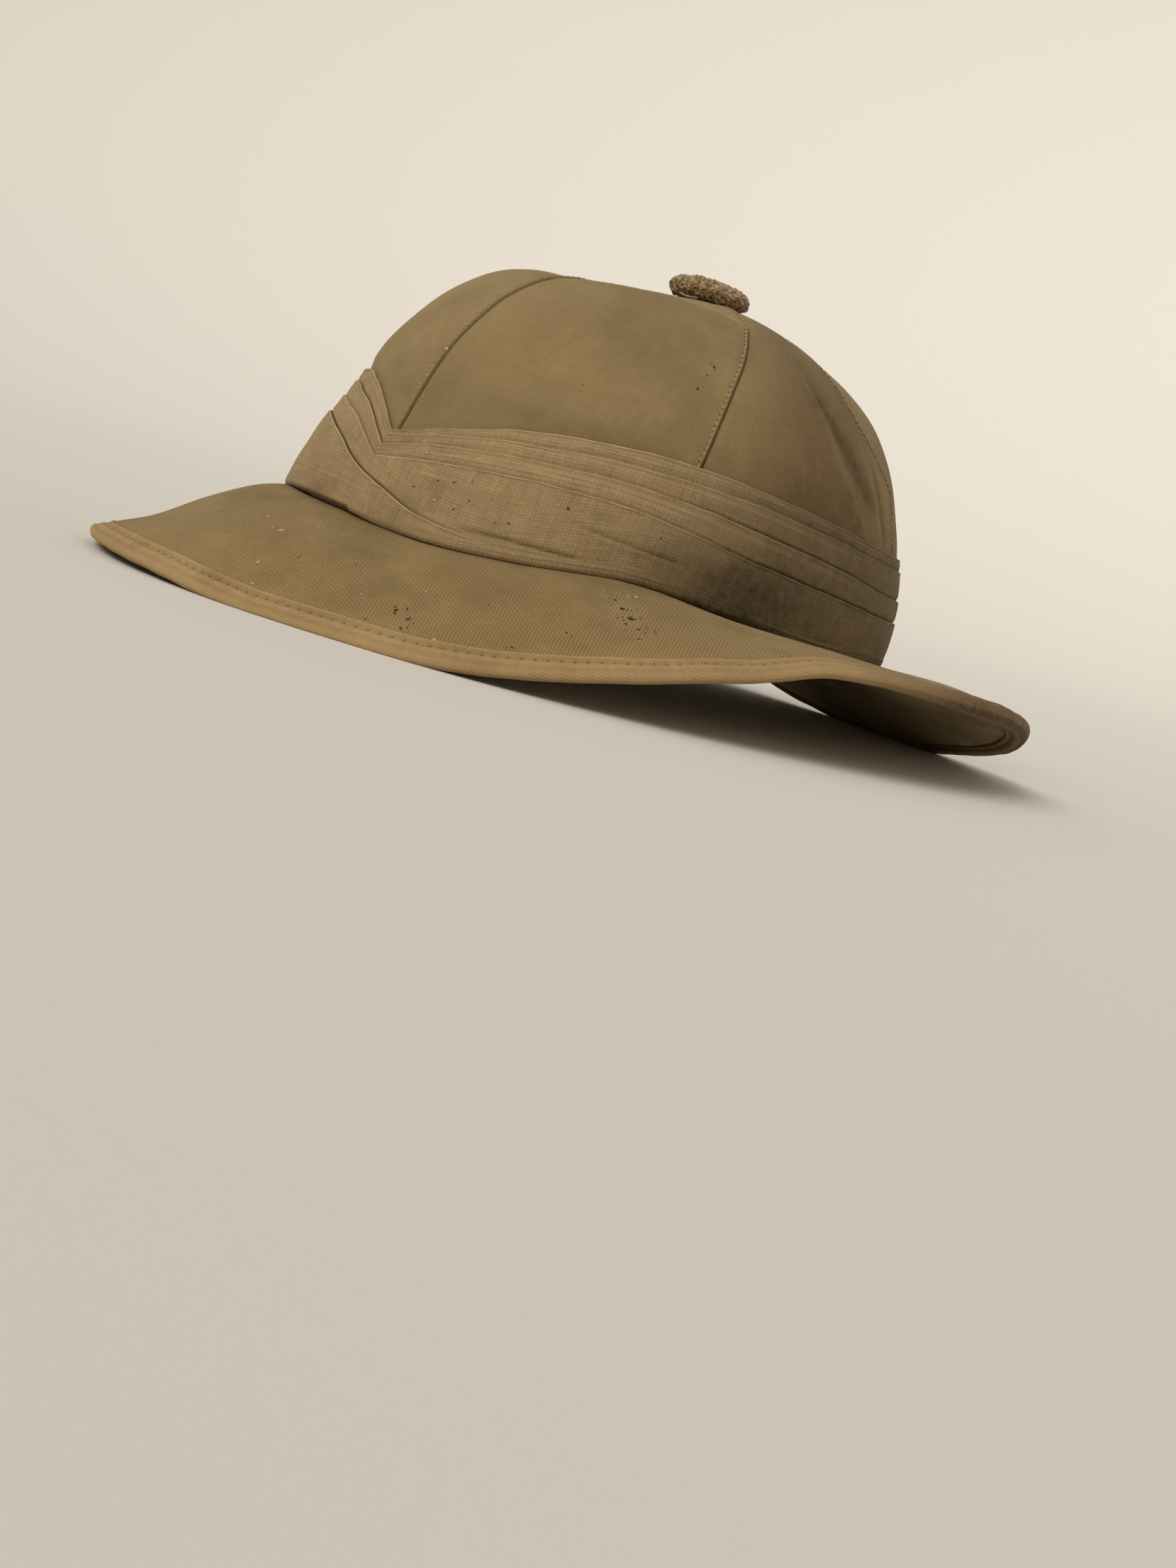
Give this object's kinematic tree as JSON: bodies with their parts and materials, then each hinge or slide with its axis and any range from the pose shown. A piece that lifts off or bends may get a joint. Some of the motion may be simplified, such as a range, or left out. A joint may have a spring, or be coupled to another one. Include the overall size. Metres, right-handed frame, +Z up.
{
  "type": "pith helmet",
  "caption": "Cloth-covered pith helmet with a hollow crown of sewn gores, a wound pleated band, a broad bound brim and a wool-covered top button.",
  "frame": {"origin": "on the resting surface, under the middle of the box round the whole helmet", "axes": "+Z up, -Y to the helmet's front, +X to the wearer's left; the helmet stands on its brim as it would by itself"},
  "size_m": [0.299, 0.353, 0.1481],
  "materials": {
    "pith": "raw light pith, matt",
    "crown_cloth": "aged khaki cotton, plain weave",
    "brim_twill": "aged khaki cotton twill",
    "lining_cloth": "aged khaki cotton, plain weave",
    "binding_tape": "pale bias-cut cotton twill tape",
    "band_cloth": "open-weave khaki cotton, pleated",
    "button_wool": "coarse knitted wool"
  },
  "bodies": {
    "root": {"pith_shell": "pith", "crown_gore_left_front": "crown_cloth", "crown_gore_left_back": "crown_cloth", "crown_gore_back": "crown_cloth", "crown_gore_right_back": "crown_cloth", "crown_gore_right_front": "crown_cloth", "crown_gore_front": "crown_cloth", "brim_cover": "brim_twill", "brim_lining": "lining_cloth", "edge_binding": "binding_tape", "pugaree": "band_cloth", "top_button": "button_wool"}
  },
  "joints": []
}
